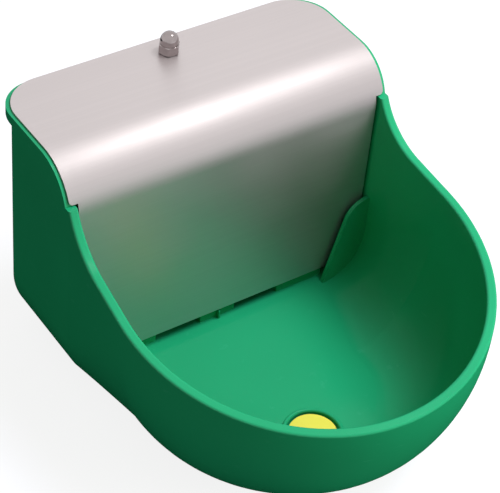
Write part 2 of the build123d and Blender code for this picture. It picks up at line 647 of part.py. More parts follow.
piston_seal = turned(PISTON_NOSE_X - PISTON_SEAL, PISTON_NOSE_X, PISTON_SEAL_R)
piston_seal.label = "piston_seal"
export_step(piston_seal, "parts/piston_seal.step")

# ---------------------------------------------------------------- float lever
with BuildPart() as float_arm:
    # side view of hub, finger and arm
    with BuildSketch(Plane.XZ.offset(-VALVE_Y - HUB_HALF)):
        with Locations((PIVOT_X, PIVOT_Z)):
            Circle(HUB_R)
        with BuildLine():
            finger_top = (FINGER_X, VALVE_Z)
            finger_root = (PIVOT_X - PIN_R, PIVOT_Z)
            lean = atan2(finger_root[1] - finger_top[1], finger_root[0] - finger_top[0])
            off = (-FINGER_TIP_R * sin(lean), FINGER_TIP_R * cos(lean))
            Polyline((finger_top[0] + off[0], finger_top[1] + off[1]),
                     (finger_root[0] + off[0], finger_root[1] + off[1]),
                     (finger_root[0] - off[0], finger_root[1] - off[1]),
                     (finger_top[0] - off[0], finger_top[1] - off[1]),
                     (finger_top[0] + off[0], finger_top[1] + off[1]))
        make_face()
        with Locations(finger_top):
            Circle(FINGER_TIP_R)
        with Locations((PIVOT_X, PIVOT_Z)):
            Circle(PIN_R + PIN_PLAY, mode=Mode.SUBTRACT)
    extrude(amount=2 * HUB_HALF)
    # flat arm out to the eye over the float
    with BuildSketch(Plane.XY.offset(ARM_Z - ARM_THICK / 2)):
        reach = PIVOT_X - (HUB_R + PIN_R) / 2 - FLOAT_X
        with Locations((FLOAT_X + reach / 2, VALVE_Y)):
            Rectangle(reach, ARM_WIDTH)
        with Locations((FLOAT_X, VALVE_Y)):
            Circle(ARM_EYE_R)
            Circle(BOLT_R, mode=Mode.SUBTRACT)
    extrude(amount=ARM_THICK)
float_arm.part.label = "float_arm"
export_step(float_arm.part, "parts/float_arm.step")

PIN_HALF = HUB_HALF + CLOSED_GAP + EAR_THICK
with BuildPart() as pivot_pin:
    with BuildSketch(Plane.XZ.offset(-VALVE_Y - PIN_HALF)):
        with Locations((PIVOT_X, PIVOT_Z)):
            Circle(PIN_R)
    extrude(amount=2 * PIN_HALF + 2 * CLIP_THICK)
    with BuildSketch(Plane.XZ.offset(-VALVE_Y - PIN_HALF - CLIP_THICK)):
        with Locations((PIVOT_X, PIVOT_Z)):
            Circle(PIN_HEAD_R)
    extrude(amount=CLIP_THICK)
pivot_pin.part.label = "pivot_pin"
export_step(pivot_pin.part, "parts/pivot_pin.step")

with BuildPart() as pin_clip:
    with BuildSketch(Plane.XZ.offset(-VALVE_Y + PIN_HALF)):
        with Locations((PIVOT_X, PIVOT_Z)):
            Circle(CLIP_R)
            Circle(PIN_R, mode=Mode.SUBTRACT)
        with Locations((PIVOT_X, PIVOT_Z - CLIP_R)):
            Rectangle(CLIP_MOUTH, 2 * CLIP_MOUTH_DEPTH, mode=Mode.SUBTRACT)
    extrude(amount=CLIP_THICK)
pin_clip.part.label = "pin_clip"
export_step(pin_clip.part, "parts/pin_clip.step")

# ---------------------------------------------------------------- float
CAP_Z = FLOAT_TOP - CAP_THICK
with BuildPart() as float_shell:
    with BuildSketch(Plane.XY.offset(FLOAT_BASE)):
        with Locations((FLOAT_X, FLOAT_Y)):
            RectangleRounded(FLOAT_LENGTH, FLOAT_WIDTH, FLOAT_CORNER_R)
    extrude(amount=CAP_Z - FLOAT_BASE)
    fillet(float_shell.edges().group_by(Axis.Z)[0], FLOAT_FOOT_R)
    with BuildSketch(Plane.XY.offset(FLOAT_BASE + FLOAT_SKIN)):
        with Locations((FLOAT_X, FLOAT_Y)):
            RectangleRounded(FLOAT_LENGTH - 2 * FLOAT_SKIN, FLOAT_WIDTH - 2 * FLOAT_SKIN,
                             FLOAT_CORNER_R - FLOAT_SKIN)
    extrude(amount=FLOAT_HEIGHT, mode=Mode.SUBTRACT)
float_shell.part.label = "float_shell"
export_step(float_shell.part, "parts/float_shell.step")

with BuildPart() as float_cap:
    with BuildSketch(Plane.XY.offset(CAP_Z)):
        with Locations((FLOAT_X, FLOAT_Y)):
            RectangleRounded(FLOAT_LENGTH, FLOAT_WIDTH, FLOAT_CORNER_R)
    extrude(amount=CAP_THICK)
    fillet(float_cap.edges().group_by(Axis.Z)[-1], FLOAT_SKIN)
    # locating lip inside the shell, with its middle open
    with BuildSketch(Plane.XY.offset(CAP_Z - CAP_LIP)):
        with Locations((FLOAT_X, FLOAT_Y)):
            RectangleRounded(FLOAT_LENGTH - 2 * FLOAT_SKIN, FLOAT_WIDTH - 2 * FLOAT_SKIN,
                             FLOAT_CORNER_R - FLOAT_SKIN)
            RectangleRounded(FLOAT_LENGTH - 4 * FLOAT_SKIN, FLOAT_WIDTH - 4 * FLOAT_SKIN,
                             FLOAT_CORNER_R - 2 * FLOAT_SKIN, mode=Mode.SUBTRACT)
    extrude(amount=CAP_LIP)
    with BuildSketch(Plane.XY.offset(CAP_Z)):
        with Locations((FLOAT_X, FLOAT_Y)):
            Circle(BOLT_R)
    extrude(amount=CAP_THICK, mode=Mode.SUBTRACT)
float_cap.part.label = "float_cap"
export_step(float_cap.part, "parts/float_cap.step")

with BuildPart() as float_bolt:
    with BuildSketch(Plane.XY.offset(BOLT_HEAD_Z)):
        with Locations((FLOAT_X, FLOAT_Y)):
            RegularPolygon(BOLT_HEAD_R, 6, major_radius=False)
    extrude(amount=BOLT_HEAD)
    with BuildSketch(Plane.XY.offset(BOLT_HEAD_Z + BOLT_HEAD)):
        with Locations((FLOAT_X, FLOAT_Y)):
            Circle(BOLT_R)
    extrude(amount=BOLT_TOP - BOLT_HEAD_Z - BOLT_HEAD)
float_bolt.part.label = "float_bolt"
export_step(float_bolt.part, "parts/float_bolt.step")

# one half nut clamps the bolt to the cap, the other carries the arm
with BuildPart() as float_nuts:
    for nut_z in (FLOAT_TOP, ARM_Z - ARM_THICK / 2 - HALF_NUT_THICK):
        with BuildSketch(Plane.XY.offset(nut_z)):
            with Locations((FLOAT_X, FLOAT_Y)):
                RegularPolygon(HALF_NUT_ACROSS / 2, 6, major_radius=False)
                Circle(BOLT_R, mode=Mode.SUBTRACT)
        extrude(amount=HALF_NUT_THICK)
float_nuts.part.label = "float_nuts"
export_step(float_nuts.part, "parts/float_nuts.step")

with BuildPart() as float_wing_nut:
    wing_z = ARM_Z + ARM_THICK / 2
    with BuildSketch(Plane.XY.offset(wing_z)):
        with Locations((FLOAT_X, FLOAT_Y)):
            Circle(WING_HUB_R)
    extrude(amount=WING_HUB_HEIGHT, taper=WING_HUB_TAPER)
    with BuildSketch(Plane.XZ.offset(-FLOAT_Y - WING_THICK / 2)):
        for side in (-1, 1):
            with BuildLine():
                Polyline((FLOAT_X, wing_z), (FLOAT_X + side * WING_HUB_R, wing_z),
                         (FLOAT_X + side * WING_SPAN / 2, wing_z + WING_EDGE_HEIGHT),
                         (FLOAT_X + side * WING_CREST, wing_z + WING_HEIGHT),
                         (FLOAT_X + side * BOLT_HEAD_R, wing_z + WING_ROOT_HEIGHT),
                         (FLOAT_X, wing_z + WING_ROOT_HEIGHT), (FLOAT_X, wing_z))
            make_face()
    extrude(amount=WING_THICK)
    with BuildSketch(Plane.XY.offset(wing_z)):
        with Locations((FLOAT_X, FLOAT_Y)):
            Circle(BOLT_R)
    extrude(amount=WING_HEIGHT, mode=Mode.SUBTRACT)
float_wing_nut.part.label = "float_wing_nut"
export_step(float_wing_nut.part, "parts/float_wing_nut.step")
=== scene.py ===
"""Finish and lighting of the livestock drinking bowl.

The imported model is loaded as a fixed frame, in metres: the wall is the plane Y = 0, the basin
stands out towards -Y and +Z is up. Each sub-assembly of the bowl is a class that holds its sizes
and dresses its nodes, and each finish is a frozen dataclass that builds its own material.
"""
import logging
import math
from dataclasses import dataclass, field
from enum import Enum

import bpy
import numpy as np
from mathutils import Matrix, Vector

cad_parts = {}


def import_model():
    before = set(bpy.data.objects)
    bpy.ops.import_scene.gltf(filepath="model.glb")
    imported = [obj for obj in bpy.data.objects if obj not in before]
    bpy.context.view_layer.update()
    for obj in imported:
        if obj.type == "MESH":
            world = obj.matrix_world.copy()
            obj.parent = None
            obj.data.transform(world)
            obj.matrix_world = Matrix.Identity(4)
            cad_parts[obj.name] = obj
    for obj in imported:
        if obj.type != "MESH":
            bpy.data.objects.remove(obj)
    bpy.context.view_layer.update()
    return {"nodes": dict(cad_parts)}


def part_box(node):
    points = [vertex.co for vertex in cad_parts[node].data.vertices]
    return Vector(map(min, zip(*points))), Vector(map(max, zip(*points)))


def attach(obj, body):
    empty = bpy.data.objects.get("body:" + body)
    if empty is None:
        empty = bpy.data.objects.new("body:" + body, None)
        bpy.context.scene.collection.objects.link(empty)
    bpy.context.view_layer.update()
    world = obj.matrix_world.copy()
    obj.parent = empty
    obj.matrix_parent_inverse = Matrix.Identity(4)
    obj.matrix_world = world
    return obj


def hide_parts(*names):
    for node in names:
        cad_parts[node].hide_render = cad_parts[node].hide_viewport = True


LOG = logging.getLogger("drinking_bowl")

Colour = tuple[float, float, float]
Point = tuple[float, float, float]
Range = tuple[float, float]

MILLI = 0.001                  # metres
IMAGE_WIDTH = 500              # pixels
SENSOR_WIDTH = 36.0            # millimetres
FLOOR_GAP = 0.5 * MILLI        # floor below the object's lowest point
# painted shade: height of the dark card that stands in, for reflections only, for the floor's
# shade under the bowl
SHADE_CARD_LIFT = 0.25 * MILLI       # dark card above the floor

# shares and scales of the plastic's skin
GRAIN_SCALE = 900.0
WAVE_SCALE = 9.0
GRAIN_SHARE = 0.12             # of the fine grain in the height, next to the slow waves
SCUFF_STRETCH = (55.0, 55.0, 160.0)
SCUFF_DULLNESS = 0.12          # added to the roughness in a scuff
SKIN_RELIEF = 0.6 * MILLI

# screw threads
THREAD_DEPTH = 0.61            # share of the pitch
POINT_DEPTHS = 1.5             # thread depths that the pointed end takes off at the tip


class Sight(Enum):
    """The Light Path outputs for rays that see a surface directly."""

    CAMERA = "Is Camera Ray"
    REFLECTION = "Is Glossy Ray"
    THROUGH_GLASS = "Is Transmission Ray"


def srgb(red: int, green: int, blue: int) -> Colour:
    """Turn an 8-bit display colour into the linear values that Blender's nodes take.

    Args:
        red, green, blue: display values from 0 to 255.

    Returns:
        The linear red, green and blue, by the standard sRGB curve.
    """
    def linear(value: int) -> float:
        """Turn one display channel into its linear value.

        Args:
            value: display value from 0 to 255.

        Returns:
            The linear value from 0 to 1.
        """
        share = value / 255
        return share / 12.92 if share <= 0.04045 else ((share + 0.055) / 1.055) ** 2.4

    return linear(red), linear(green), linear(blue)


# ---------------------------------------------------------------- shader node groups


def new_group(name: str, inputs: dict[str, float], outputs: dict[str, str]) -> bpy.types.NodeTree:
    """Make an empty shader node group with named sockets.

    Args:
        name: name of the group.
        inputs: each float input's name and its default value, after a Vector input.
        outputs: each output's name and its socket type.

    Returns:
        The new node tree, with its input and output nodes in place.
    """
    tree = bpy.data.node_groups.new(name, "ShaderNodeTree")
    tree.interface.new_socket("Vector", in_out="INPUT", socket_type="NodeSocketVector")
    for label, value in inputs.items():
        socket = tree.interface.new_socket(label, in_out="INPUT", socket_type="NodeSocketFloat")
        socket.default_value = value
    for label, kind in outputs.items():
        tree.interface.new_socket(label, in_out="OUTPUT", socket_type=kind)
    tree.nodes.new("NodeGroupInput").name = "In"
    tree.nodes.new("NodeGroupOutput").name = "Out"
    return tree


@dataclass(frozen=True)
class NodeWriter:
    """Short hand for adding and joining nodes in one tree."""

    tree: bpy.types.NodeTree

    def add(self, kind: str, **settings: object) -> bpy.types.Node:
        """Add a node and set its properties.

        Args:
            kind: the node's type without its ShaderNode prefix.
            settings: node properties, or socket names with underscores for blanks.

        Returns:
            The new node.
        """
        node = self.tree.nodes.new("ShaderNode" + kind)
        for key, value in settings.items():
            label = key.replace("_", " ")
            if hasattr(node, key):
                setattr(node, key, value)
            elif label in node.inputs:
                node.inputs[label].default_value = value
            else:
                raise KeyError(f"{kind} has no {key}")
        return node

    def join(self, start: bpy.types.NodeSocket, end: bpy.types.NodeSocket) -> None:
        """Link two sockets.

        Args:
            start: the output socket.
            end: the input socket.
        """
        self.tree.links.new(start, end)

    def noise(self, vector: bpy.types.NodeSocket, scale: float, detail: float = 3.0,
              roughness: float = 0.5) -> bpy.types.NodeSocket:
        """Add a noise texture.

        Args:
            vector: where it is read.
            scale, detail, roughness: the texture's own settings.

        Returns:
            Its factor socket.
        """
        node = self.add("TexNoise", Scale=scale, Detail=detail, Roughness=roughness)
        self.join(vector, node.inputs["Vector"])
        return node.outputs[0]

    def stretch(self, vector: bpy.types.NodeSocket, scale: Point) -> bpy.types.NodeSocket:
        """Scale a vector.

        Args:
            vector: the vector to scale.
            scale: its factors along X, Y and Z.

        Returns:
            The scaled vector's socket.
        """
        node = self.add("Mapping")
        node.inputs["Scale"].default_value = scale
        self.join(vector, node.inputs["Vector"])
        return node.outputs[0]

    def remap(self, value: bpy.types.NodeSocket, source: Range,
              target: Range) -> bpy.types.NodeSocket:
        """Map a value from one range to another, clamped.

        Args:
            value: the value to map.
            source: its range, low end first.
            target: the range that it is mapped to.

        Returns:
            The mapped value's socket.
        """
        node = self.add("MapRange", clamp=True)
        for index, number in enumerate((*source, *target), start=1):
            node.inputs[index].default_value = number
        self.join(value, node.inputs[0])
        return node.outputs[0]

    def maths(self, operation: str, first: bpy.types.NodeSocket,
              second: "bpy.types.NodeSocket | float" = 0.0) -> bpy.types.NodeSocket:
        """Combine two values with a Math node.

        Args:
            operation: the node's operation.
            first: the first value's socket.
            second: the second value, as a socket or a number, which some operations ignore.

        Returns:
            The result's socket.
        """
        node = self.add("Math", operation=operation)
        self.join(first, node.inputs[0])
        if isinstance(second, (int, float)):
            node.inputs[1].default_value = second
        else:
            self.join(second, node.inputs[1])
        return node.outputs[0]

    def blend(self, factor: bpy.types.NodeSocket, first: "bpy.types.NodeSocket | Colour",
              second: "bpy.types.NodeSocket | Colour") -> bpy.types.NodeSocket:
        """Mix two colours, each a socket or a linear colour.

        Args:
            factor: share of the second colour.
            first: the colour at a factor of nought.
            second: the colour at a factor of one.

        Returns:
            The mixed colour's socket.
        """
        node = self.add("MixRGB", blend_type="MIX")
        self.join(factor, node.inputs[0])
        for index, colour in ((1, first), (2, second)):
            if isinstance(colour, bpy.types.NodeSocket):
                self.join(colour, node.inputs[index])
            else:
                node.inputs[index].default_value = (*colour, 1.0)
        return node.outputs[0]


def moulding_grain() -> bpy.types.NodeTree:
    """Group for the skin of moulded plastic.

    The height is fine even noise plus a slow waviness of the wall, as a mould leaves it, the shade
    is a slow cloud around one and the scuff is a mask of short worn streaks.

    Returns:
        The group's tree.
    """
    if "moulding_grain" in bpy.data.node_groups:
        return bpy.data.node_groups["moulding_grain"]
    tree = new_group("moulding_grain", {"Grain Scale": GRAIN_SCALE, "Wave Scale": WAVE_SCALE},
                     {"Height": "NodeSocketFloat", "Shade": "NodeSocketFloat",
                      "Scuff": "NodeSocketFloat"})
    w = NodeWriter(tree)
    entry, leave = tree.nodes["In"], tree.nodes["Out"]
    fine = w.add("TexNoise", Detail=2.0)
    wave = w.add("TexNoise", Detail=1.0)
    for node, label in ((fine, "Grain Scale"), (wave, "Wave Scale")):
        w.join(entry.outputs["Vector"], node.inputs["Vector"])
        w.join(entry.outputs[label], node.inputs["Scale"])
    height = w.maths("ADD", w.maths("MULTIPLY", fine.outputs[0], GRAIN_SHARE), wave.outputs[0])
    scuff = w.noise(w.stretch(entry.outputs["Vector"], SCUFF_STRETCH),
                    scale=1.6, detail=6.0, roughness=0.65)
    w.join(height, leave.inputs["Height"])
    w.join(w.remap(wave.outputs[0], (0.3, 0.7), (0.94, 1.06)), leave.inputs["Shade"])
    w.join(w.remap(scuff, (0.62, 0.74), (0.0, 1.0)), leave.inputs["Scuff"])
    return tree


def brush_lines() -> bpy.types.NodeTree:
    """Group for ground sheet metal.

    The lines are noise on a vector that the material has already drawn out along them: fine ones
    for the height and broader ones for the shade. The cloud is slow noise on the plain vector.

    Returns:
        The group's tree.
    """
    if "brush_lines" in bpy.data.node_groups:
        return bpy.data.node_groups["brush_lines"]
    tree = new_group("brush_lines", {"Fine Scale": 1800.0, "Broad Scale": 700.0},
                     {"Height": "NodeSocketFloat", "Shade": "NodeSocketFloat",
                      "Cloud": "NodeSocketFloat"})
    tree.interface.new_socket("Plain", in_out="INPUT", socket_type="NodeSocketVector")
    w = NodeWriter(tree)
    entry, leave = tree.nodes["In"], tree.nodes["Out"]
    fine = w.add("TexNoise", Detail=3.0, Roughness=0.6)
    broad = w.add("TexNoise", Detail=2.0, Roughness=0.5)
    for node, label in ((fine, "Fine Scale"), (broad, "Broad Scale")):
        w.join(entry.outputs["Vector"], node.inputs["Vector"])
        w.join(entry.outputs[label], node.inputs["Scale"])
    cloud = w.noise(entry.outputs["Plain"], scale=14.0, roughness=0.55)
    w.join(fine.outputs[0], leave.inputs["Height"])
    w.join(w.remap(broad.outputs[0], (0.3, 0.7), (0.0, 1.0)), leave.inputs["Shade"])
    w.join(w.remap(cloud, (0.3, 0.7), (0.0, 1.0)), leave.inputs["Cloud"])
    return tree


def screw_relief() -> bpy.types.NodeTree:
    """Group for a screw thread along X, about an axis through Y and Z.

    The height is a triangle wave of x over the pitch less the angle about the axis over one turn,
    and the mask is one between Start and End on the outside of the given radius.

    Returns:
        The group's tree.
    """
    if "screw_relief" in bpy.data.node_groups:
        return bpy.data.node_groups["screw_relief"]
    tree = new_group("screw_relief", {"Axis Y": 0.0, "Axis Z": 0.0, "Pitch": 0.001,
                                      "Start": 0.0, "End": 1.0, "Radius": 0.0},
                     {"Height": "NodeSocketFloat", "Mask": "NodeSocketFloat"})
    w = NodeWriter(tree)
    entry, leave = tree.nodes["In"], tree.nodes["Out"]
    parts = w.add("SeparateXYZ")
    w.join(entry.outputs["Vector"], parts.inputs[0])
    off_y = w.maths("SUBTRACT", parts.outputs[1], entry.outputs["Axis Y"])
    off_z = w.maths("SUBTRACT", parts.outputs[2], entry.outputs["Axis Z"])
    turns = w.maths("DIVIDE", w.maths("ARCTAN2", off_z, off_y), math.tau)
    phase = w.maths("SUBTRACT", w.maths("DIVIDE", parts.outputs[0], entry.outputs["Pitch"]), turns)
    w.join(w.maths("MULTIPLY", w.maths("PINGPONG", phase, 0.5), 2.0), leave.inputs["Height"])
    away = w.maths("SQRT", w.maths("ADD", w.maths("MULTIPLY", off_y, off_y),
                                   w.maths("MULTIPLY", off_z, off_z)))
    after = w.maths("GREATER_THAN", parts.outputs[0], entry.outputs["Start"])
    before = w.maths("LESS_THAN", parts.outputs[0], entry.outputs["End"])
    outside = w.maths("GREATER_THAN", away, entry.outputs["Radius"])
    w.join(w.maths("MULTIPLY", w.maths("MULTIPLY", after, before), outside), leave.inputs["Mask"])
    return tree


# ---------------------------------------------------------------- finishes


@dataclass(frozen=True)
class Finish:
    """A named material; each kind adds its own nodes in paint."""

    name: str

    def make(self) -> bpy.types.Material:
        """Build the material, or find it if it is there already.

        Returns:
            The material.
        """
        found = bpy.data.materials.get(self.name)
        if found is not None:
            return found
        material = bpy.data.materials.new(self.name)
        material.use_nodes = True
        writer = NodeWriter(material.node_tree)
        shader = material.node_tree.nodes["Principled BSDF"]
        place = writer.add("TexCoord").outputs["Object"]
        self.paint(writer, shader, place)
        return material

    def paint(self, w: NodeWriter, shader: bpy.types.Node, place: bpy.types.NodeSocket) -> None:
        """Add the nodes of this finish; the plain finish has none.

        Args:
            w: writer for the material's tree.
            shader: the Principled shader.
            place: object coordinates, in metres.
        """


@dataclass(frozen=True)
class MouldedPlastic(Finish):
    """Satin moulded plastic with a fine grain, slow waviness and a few pale scuffs."""

    colour: Colour = (0.1, 0.1, 0.1)
    roughness: float = 0.4
    grain: float = 0.15
    gloss: float = 0.5
    varnish: float = 0.0
    varnish_roughness: float = 0.14
    scuff_colour: Colour = (0.3, 0.3, 0.3)
    scuff: float = 0.12

    def paint(self, w: NodeWriter, shader: bpy.types.Node, place: bpy.types.NodeSocket) -> None:
        """Colour by the slow cloud and the scuffs, relief from the grain.

        Args:
            w: writer for the material's tree.
            shader: the Principled shader.
            place: object coordinates, in metres.
        """
        skin = w.add("Group")
        skin.node_tree = moulding_grain()
        skin.inputs["Grain Scale"].default_value = GRAIN_SCALE
        skin.inputs["Wave Scale"].default_value = WAVE_SCALE
        w.join(place, skin.inputs["Vector"])
        shaded = w.add("VectorMath", operation="SCALE")
        shaded.inputs[0].default_value = self.colour
        w.join(skin.outputs["Shade"], shaded.inputs["Scale"])
        worn = w.maths("MULTIPLY", skin.outputs["Scuff"], self.scuff)
        w.join(w.blend(worn, shaded.outputs[0], self.scuff_colour), shader.inputs["Base Color"])
        w.join(w.remap(skin.outputs["Scuff"], (0.0, 1.0),
                       (self.roughness, self.roughness + SCUFF_DULLNESS)),
               shader.inputs["Roughness"])
        relief = w.add("Bump", Strength=self.grain, Distance=SKIN_RELIEF)
        w.join(skin.outputs["Height"], relief.inputs["Height"])
        w.join(relief.outputs[0], shader.inputs["Normal"])
        shader.inputs["Specular IOR Level"].default_value = self.gloss
        shader.inputs["Coat Weight"].default_value = self.varnish
        shader.inputs["Coat Roughness"].default_value = self.varnish_roughness


@dataclass(frozen=True)
class ThreadedPlastic(MouldedPlastic):
    """Moulded plastic with a pipe thread round the part of it that stands out of the wall.

    The thread runs about an axis along X through the given Y and Z, over a span of X, on what
    lies outside the radius. All are in metres.
    """

    axis: tuple[float, float] = (-60.0 * MILLI, -2.0 * MILLI)
    pitch: float = 1.814 * MILLI
    span: Range = (134.5 * MILLI, 147.5 * MILLI)
    radius: float = 10.0 * MILLI
    ridge: float = 1.1 * MILLI

    def paint(self, w: NodeWriter, shader: bpy.types.Node, place: bpy.types.NodeSocket) -> None:
        """The moulded skin, and the thread as a second relief on top of its normal.

        Args:
            w: writer for the material's tree.
            shader: the Principled shader.
            place: object coordinates, in metres.
        """
        super().paint(w, shader, place)
        thread = w.add("Group")
        thread.node_tree = screw_relief()
        for label, value in (("Axis Y", self.axis[0]), ("Axis Z", self.axis[1]),
                             ("Pitch", self.pitch), ("Start", self.span[0]),
                             ("End", self.span[1]), ("Radius", self.radius)):
            thread.inputs[label].default_value = value
        w.join(place, thread.inputs["Vector"])
        height = w.maths("MULTIPLY", thread.outputs["Height"], thread.outputs["Mask"])
        ridges = w.add("Bump", Strength=1.0, Distance=self.ridge)
        w.join(height, ridges.inputs["Height"])
        w.join(shader.inputs["Normal"].links[0].from_socket, ridges.inputs["Normal"])
        w.join(ridges.outputs[0], shader.inputs["Normal"])


@dataclass(frozen=True)
class GroundSteel(Finish):
    """Ground stainless sheet. Its lines stretch every highlight across themselves.

    The lay scales the line noise along X, Y and Z, so that a small first value draws the lines
    out along X. The dullness is the colour's share left in the darker lines, and the spread is
    added to the roughness.
    """

    colour: Colour = (0.6, 0.6, 0.6)
    roughness: float = 0.42
    across: float = 0.65
    lines: float = 0.03
    lay: Point = (0.0025, 1.0, 1.0)
    dullness: float = 0.97
    spread: Range = (-0.02, 0.03)
    relief: float = 0.1 * MILLI

    def paint(self, w: NodeWriter, shader: bpy.types.Node, place: bpy.types.NodeSocket) -> None:
        """Shade and relief follow the ground lines, roughness a slow cloud.

        Args:
            w: writer for the material's tree.
            shader: the Principled shader.
            place: object coordinates, in metres.
        """
        brushed = w.add("Group")
        brushed.node_tree = brush_lines()
        w.join(place, brushed.inputs["Plain"])
        w.join(w.stretch(place, self.lay), brushed.inputs["Vector"])
        dull = tuple(self.dullness * channel for channel in self.colour)
        w.join(w.blend(brushed.outputs["Shade"], dull, self.colour), shader.inputs["Base Color"])
        w.join(w.remap(brushed.outputs["Cloud"], (0.0, 1.0),
                       (self.roughness + self.spread[0], self.roughness + self.spread[1])),
               shader.inputs["Roughness"])
        relief = w.add("Bump", Strength=self.lines, Distance=self.relief)
        w.join(brushed.outputs["Height"], relief.inputs["Height"])
        w.join(relief.outputs[0], shader.inputs["Normal"])
        shader.inputs["Metallic"].default_value = 1.0
        shader.inputs["Anisotropic"].default_value = self.across
        round_x = w.add("Tangent", direction_type="RADIAL", axis="X")
        w.join(round_x.outputs[0], shader.inputs["Tangent"])


@dataclass(frozen=True)
class BrightMetal(Finish):
    """Turned or polished metal with faint tool marks and a slow variation of its gloss.

    The dullness is the colour's share left where the metal is roughest, the spread scales the
    roughness from its least to its most, and the strength is that of the fine relief.
    """

    colour: Colour = (0.7, 0.7, 0.7)
    roughness: float = 0.1
    dullness: float = 0.82
    spread: Range = (0.7, 1.5)
    strength: float = 0.05
    relief: float = 0.2 * MILLI

    def paint(self, w: NodeWriter, shader: bpy.types.Node, place: bpy.types.NodeSocket) -> None:
        """Gloss varies with a fine noise; the colour darkens slightly where it is rougher.

        Args:
            w: writer for the material's tree.
            shader: the Principled shader.
            place: object coordinates, in metres.
        """
        marks = w.noise(place, scale=260.0, detail=5.0, roughness=0.6)
        w.join(w.remap(marks, (0.3, 0.7),
                       (self.roughness * self.spread[0], self.roughness * self.spread[1])),
               shader.inputs["Roughness"])
        darker = tuple(self.dullness * channel for channel in self.colour)
        w.join(w.blend(w.remap(marks, (0.35, 0.75), (0.0, 1.0)), self.colour, darker),
               shader.inputs["Base Color"])
        relief = w.add("Bump", Strength=self.strength, Distance=self.relief)
        w.join(marks, relief.inputs["Height"])
        w.join(relief.outputs[0], shader.inputs["Normal"])
        shader.inputs["Metallic"].default_value = 1.0


@dataclass(frozen=True)
class SoftRubber(Finish):
    """Matt black rubber with a dusty bloom."""

    colour: Colour = (0.02, 0.02, 0.02)
    bloom: float = 0.03

    def paint(self, w: NodeWriter, shader: bpy.types.Node, place: bpy.types.NodeSocket) -> None:
        """Bloom is a cloud of slightly paler grey.

        Args:
            w: writer for the material's tree.
            shader: the Principled shader.
            place: object coordinates, in metres.
        """
        cloud = w.noise(place, scale=120.0, detail=4.0, roughness=0.6)
        pale = tuple(channel + self.bloom for channel in self.colour)
        w.join(w.blend(w.remap(cloud, (0.4, 0.8), (0.0, 1.0)), self.colour, pale),
               shader.inputs["Base Color"])
        w.join(w.remap(cloud, (0.3, 0.7), (0.55, 0.75)), shader.inputs["Roughness"])


GREEN = MouldedPlastic("green_moulded", srgb(29, 150, 94), roughness=0.5, grain=0.08, gloss=0.0,
                       varnish=0.38, varnish_roughness=0.16,
                       scuff_colour=srgb(90, 190, 150), scuff=0.10)
COVER_STEEL = GroundSteel("cover_sheet", srgb(206, 198, 198))
NUT_STEEL = BrightMetal("polished_nut", srgb(170, 160, 160), roughness=0.09)
PLAIN_STEEL = BrightMetal("plain_steel", srgb(190, 190, 190), roughness=0.22)
BRASS = BrightMetal("turned_brass", srgb(214, 178, 100), roughness=0.2)
YELLOW = MouldedPlastic("yellow_moulded", srgb(224, 213, 76), roughness=0.5, grain=0.08,
                        gloss=0.0, varnish=0.4, varnish_roughness=0.2,
                        scuff_colour=srgb(250, 245, 180), scuff=0.05)
VALVE_WHITE = MouldedPlastic("valve_moulded", srgb(222, 222, 214), roughness=0.42, grain=0.12)
INLET_WHITE = ThreadedPlastic("inlet_moulded", srgb(222, 222, 214), roughness=0.42, grain=0.12)
FLOAT_BLACK = MouldedPlastic("float_moulded", srgb(38, 38, 40), roughness=0.5, grain=0.2)
RUBBER = SoftRubber("seal_rubber")


def dress(node: bpy.types.Object, finish: Finish) -> None:
    """Give a node one finish in every material slot.

    Args:
        node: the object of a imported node, or a new piece.
        finish: the finish to use.
    """
    material = finish.make()
    if not node.material_slots:
        node.data.materials.append(material)
    for holder in node.material_slots:
        holder.material = material


# ---------------------------------------------------------------- surfaces


def grid_piece(name: str, points: np.ndarray) -> bpy.types.Object:
    """Make a closed piece from a grid of points that runs up in rows and round in columns.

    Each cell of the grid is one quad, the last column joins the first, and the first and last row
    are each closed by one face.

    Args:
        name: name of the new object.
        points: array of rows by columns by 3, in metres, counter-clockwise seen from the last row.

    Returns:
        The new object, at the origin, with smooth faces.
    """
    rows, columns = points.shape[:2]
    index = np.arange(rows * columns).reshape(rows, columns)
    beside = np.roll(index, -1, axis=1)
    quads = np.stack([index[:-1], beside[:-1], beside[1:], index[1:]], axis=-1).reshape(-1, 4)
    faces = [*quads.tolist(), index[0][::-1].tolist(), index[-1].tolist()]
    mesh = bpy.data.meshes.new(name)
    mesh.from_pydata(points.reshape(-1, 3).tolist(), [], faces)
    smooth = np.ones(len(mesh.polygons), dtype=bool)
    smooth[-2:] = False
    mesh.polygons.foreach_set("use_smooth", smooth)
    piece = bpy.data.objects.new(name, mesh)
    bpy.context.scene.collection.objects.link(piece)
    return piece


